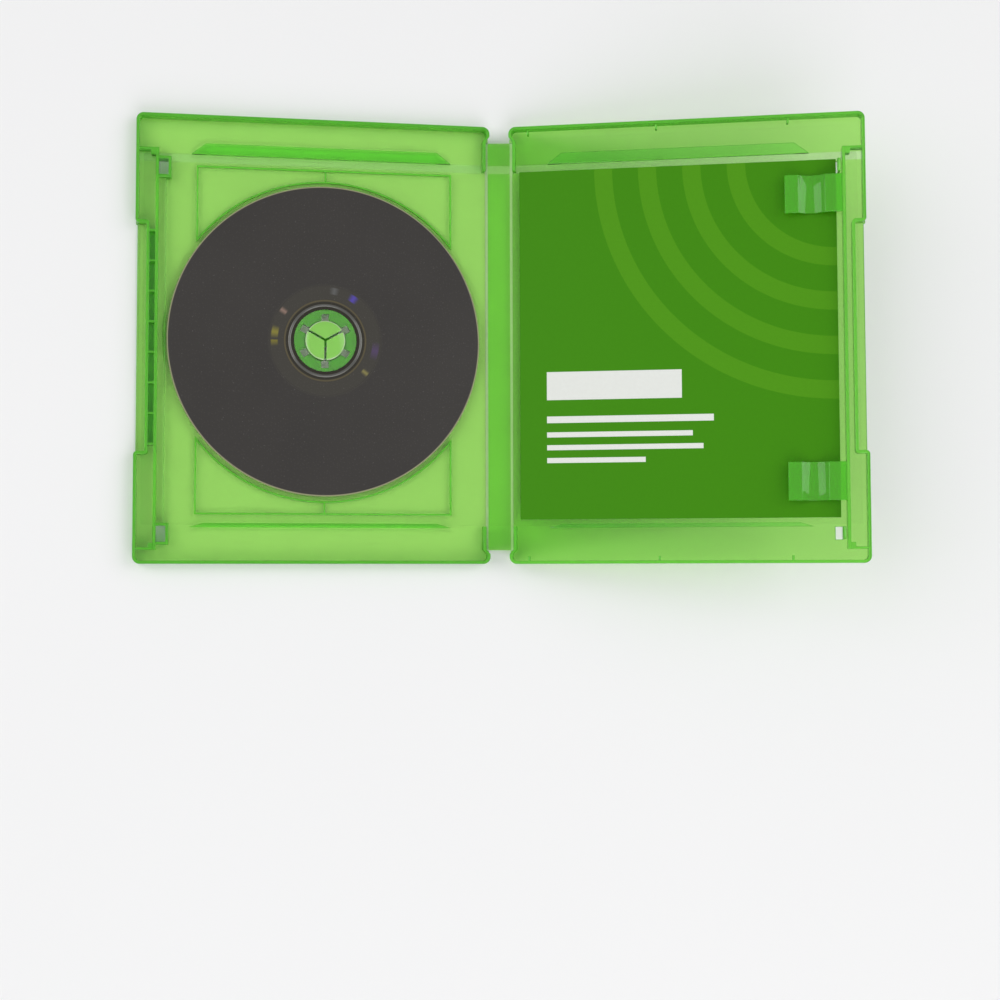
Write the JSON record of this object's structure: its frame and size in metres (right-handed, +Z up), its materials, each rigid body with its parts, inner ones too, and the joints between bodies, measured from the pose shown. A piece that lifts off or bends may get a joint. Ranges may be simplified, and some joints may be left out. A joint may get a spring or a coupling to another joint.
{
  "type": "optical disc case",
  "caption": "Open book-style disc case in translucent green plastic with a press-release hub holding a disc, a hinged spine and a leaflet under two clips.",
  "frame": {"origin": "the disc's axis on the outer face that the case rests on", "axes": "+X from the disc cover across the spine to the leaflet cover, +Y towards the case's top edge, +Z up out of the disc"},
  "size_m": [0.2747, 0.1714, 0.046],
  "materials": {
    "case_plastic": "translucent green moulded polypropylene, satin floors and glossier edges",
    "sleeve_film": "clear flexible film, glossy",
    "disc_surface": "dark mirror-coated polycarbonate with a clear middle",
    "leaflet_card": "coated printed paper"
  },
  "bodies": {
    "disc_cover": {"disc_cover": "case_plastic", "disc": "disc_surface", "disc_side_film": "sleeve_film"},
    "spine": {"spine": "case_plastic", "spine_film": "sleeve_film"},
    "leaflet_cover": {"leaflet_cover": "case_plastic", "leaflet": "leaflet_card", "leaflet_side_film": "sleeve_film"},
    "hub_petal_1": {"hub_petal_1": "case_plastic"},
    "hub_petal_2": {"hub_petal_2": "case_plastic"},
    "hub_petal_3": {"hub_petal_3": "case_plastic"}
  },
  "joints": [
    {"name": "disc_cover_hinge", "type": "hinge", "parent": "disc_cover", "child": "spine", "pos_m": [0.0636, 0, 0.0005], "axis": [0, -1, 0], "range_deg": [-8.5, 81.5]},
    {"name": "leaflet_cover_hinge", "type": "hinge", "parent": "spine", "child": "leaflet_cover", "pos_m": [0.07309, 0, 0.00192], "axis": [0, -1, 0], "range_deg": [-8.5, 81.5]},
    {"name": "petal_1_lean", "type": "hinge", "parent": "disc_cover", "child": "hub_petal_1", "pos_m": [0, 0.00665, 0.00187], "axis": [1, 0, 0], "range_deg": [0, 7], "stiffness_Nm_per_rad": 0.1},
    {"name": "petal_2_lean", "type": "hinge", "parent": "disc_cover", "child": "hub_petal_2", "pos_m": [-0.00576, -0.00332, 0.00187], "axis": [-0.5, 0.866, 0], "range_deg": [0, 7], "stiffness_Nm_per_rad": 0.1},
    {"name": "petal_3_lean", "type": "hinge", "parent": "disc_cover", "child": "hub_petal_3", "pos_m": [0.00576, -0.00332, 0.00187], "axis": [-0.5, -0.866, 0], "range_deg": [0, 7], "stiffness_Nm_per_rad": 0.1}
  ],
  "couplings": [
    {"joint": "petal_2_lean", "follows": "petal_1_lean", "ratio": 1},
    {"joint": "petal_3_lean", "follows": "petal_1_lean", "ratio": 1}
  ]
}
